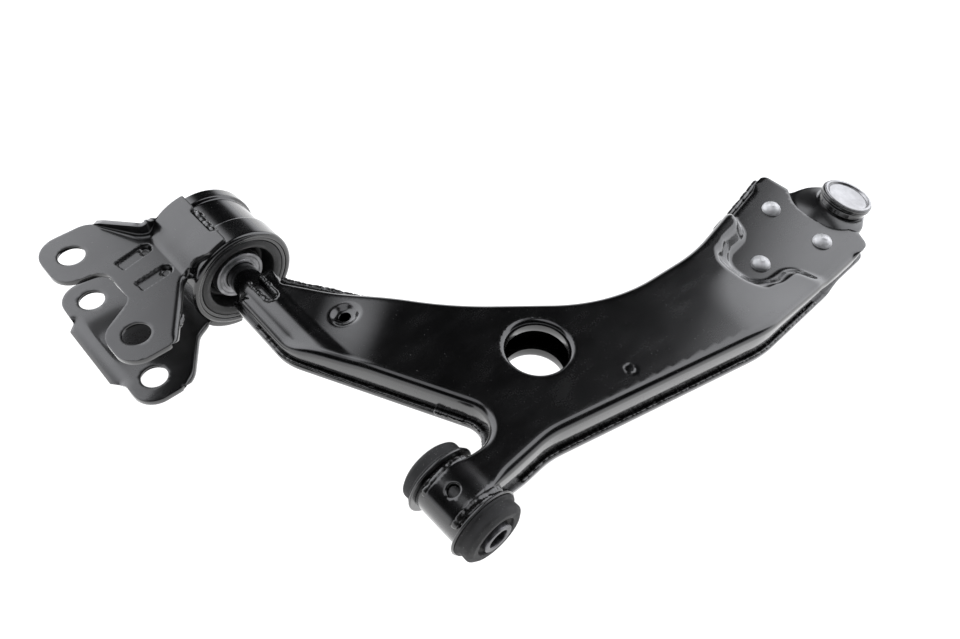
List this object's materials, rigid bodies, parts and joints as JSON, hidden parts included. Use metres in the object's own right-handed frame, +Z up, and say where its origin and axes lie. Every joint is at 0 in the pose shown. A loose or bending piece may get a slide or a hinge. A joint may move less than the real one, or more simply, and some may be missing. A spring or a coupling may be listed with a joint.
{
  "type": "suspension control arm",
  "caption": "Front lower suspension control arm: box-section arm of two welded pressings with a front bush, a bracketed rear bush and a riveted ball joint.",
  "frame": {"origin": "centre of the front bush's bore, on the pivot axis", "axes": "+X along the pivot axis from the rear bush to the front bush, +Y outboard to the ball joint, +Z up, away from the ball stud"},
  "size_m": [0.3582, 0.4985, 0.098],
  "materials": {
    "black_coat": "gloss",
    "weld_black": "gloss",
    "bush_shell": "satin",
    "bush_rubber": "matte",
    "boot_rubber": "satin",
    "plain_steel": "satin",
    "bright_steel": "polished",
    "rivet_steel": "satin",
    "cast_core": "satin",
    "seat_polymer": "satin"
  },
  "bodies": {
    "arm": {"upper_shell": "black_coat", "lower_shell": "black_coat", "shell_seam_weld": "weld_black", "front_bush_tube": "black_coat", "front_bush_tube_weld": "weld_black", "front_bush_sleeve_front": "bush_shell", "front_bush_sleeve_rear": "bush_shell", "front_bush_rubber_front": "bush_rubber", "front_bush_rubber_rear": "bush_rubber", "rear_pin": "black_coat", "rear_pin_weld": "weld_black", "rear_bush_core": "cast_core", "rear_bush_rubber": "bush_rubber", "ball_joint_housing": "black_coat", "ball_joint_cover": "bright_steel", "ball_joint_rivets": "rivet_steel", "ball_seat": "seat_polymer", "preload_disc": "plain_steel", "boot_clamp_large": "plain_steel"},
    "front_sleeve": {"front_bush_inner_sleeve": "plain_steel"},
    "bracket": {"rear_housing": "black_coat", "rear_bush_outer_sleeve": "bush_shell", "bracket_upper_plate": "black_coat", "bracket_lower_plate": "black_coat", "bracket_welds": "weld_black"},
    "boot": {"dust_boot": "boot_rubber"},
    "boot_neck": {"boot_clamp_small": "plain_steel"},
    "stud": {"ball_stud": "plain_steel"}
  },
  "joints": [
    {"name": "front_bush_twist", "type": "hinge", "parent": "arm", "child": "front_sleeve", "pos_m": [0, 0, 0], "axis": [1, 0, 0], "range_deg": [-20, 20], "stiffness_Nm_per_rad": 20},
    {"name": "rear_bush_twist", "type": "hinge", "parent": "arm", "child": "bracket", "pos_m": [-0.2464, 0, 0], "axis": [1, 0, 0], "range_deg": [-20, 20], "stiffness_Nm_per_rad": 60},
    {"name": "ball_swing", "type": "hinge", "parent": "arm", "child": "boot", "pos_m": [0.007, 0.373, 0.002], "axis": [0.9976, 0, -0.0698], "range_deg": [-20, 20], "deforming": ["dust_boot"]},
    {"name": "ball_tilt", "type": "hinge", "parent": "boot", "child": "boot_neck", "pos_m": [0.007, 0.373, 0.002], "axis": [-0.0145, 0.9781, -0.2074], "range_deg": [-10, 10], "deforming": ["dust_boot"]},
    {"name": "stud_spin", "type": "hinge", "parent": "boot_neck", "child": "stud", "pos_m": [0.007, 0.373, 0.002], "axis": [-0.0682, -0.2079, -0.9758], "continuous": true}
  ]
}
